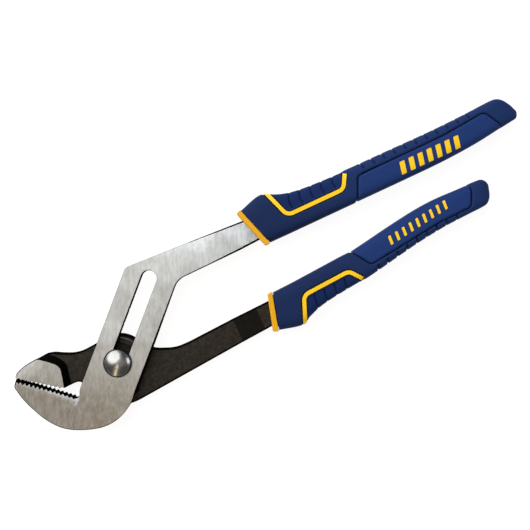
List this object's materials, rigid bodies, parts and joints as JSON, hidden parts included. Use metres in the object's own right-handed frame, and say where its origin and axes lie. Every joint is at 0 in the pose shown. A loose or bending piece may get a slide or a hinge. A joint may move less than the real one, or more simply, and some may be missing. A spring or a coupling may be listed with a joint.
{
  "type": "tongue and groove pliers",
  "caption": "Long pliers with angled toothed jaws, a bolt that moves along a slot to set the jaw opening, and thick two-colour grips.",
  "frame": {"origin": "on the bolt's axis, at the surface that the pliers lie on, which the bolt's end and the nut's back face touch", "axes": "+X runs along the upper handle, away from the jaws; +Y points from the lower handle to the upper handle; +Z points out of the bolt's domed head"},
  "size_m": [0.303, 0.0766, 0.0199],
  "materials": {
    "slotted_lever": "ground bright on its faces, black on its side walls",
    "tongued_lever": "black oxide, satin",
    "pivot_bolt": "polished plating",
    "pivot_nut": "machined",
    "upper_grip_core": "hard orange-yellow moulding",
    "upper_grip_shell": "soft navy overmould, satin",
    "upper_grip_pad": "soft navy overmould, satin",
    "lower_grip_core": "hard orange-yellow moulding",
    "lower_grip_shell": "soft navy overmould, satin",
    "lower_grip_pad": "soft navy overmould, satin"
  },
  "bodies": {
    "slotted_side": {"slotted_lever": "slotted_lever", "upper_grip_core": "upper_grip_core", "upper_grip_shell": "upper_grip_shell", "upper_grip_pad": "upper_grip_pad"},
    "pivot": {"pivot_bolt": "pivot_bolt", "pivot_nut": "pivot_nut"},
    "tongued_side": {"tongued_lever": "tongued_lever", "lower_grip_core": "lower_grip_core", "lower_grip_shell": "lower_grip_shell", "lower_grip_pad": "lower_grip_pad"}
  },
  "joints": [
    {"name": "groove_shift", "type": "hinge", "parent": "slotted_side", "child": "pivot", "pos_m": [0.307, -0.27984, 0.009], "axis": [0, 0, -1], "range_deg": [0, 6.5]},
    {"name": "jaw_hinge", "type": "hinge", "parent": "pivot", "child": "tongued_side", "pos_m": [0, 0, 0.009], "axis": [0, 0, -1], "range_deg": [0, 70]}
  ]
}
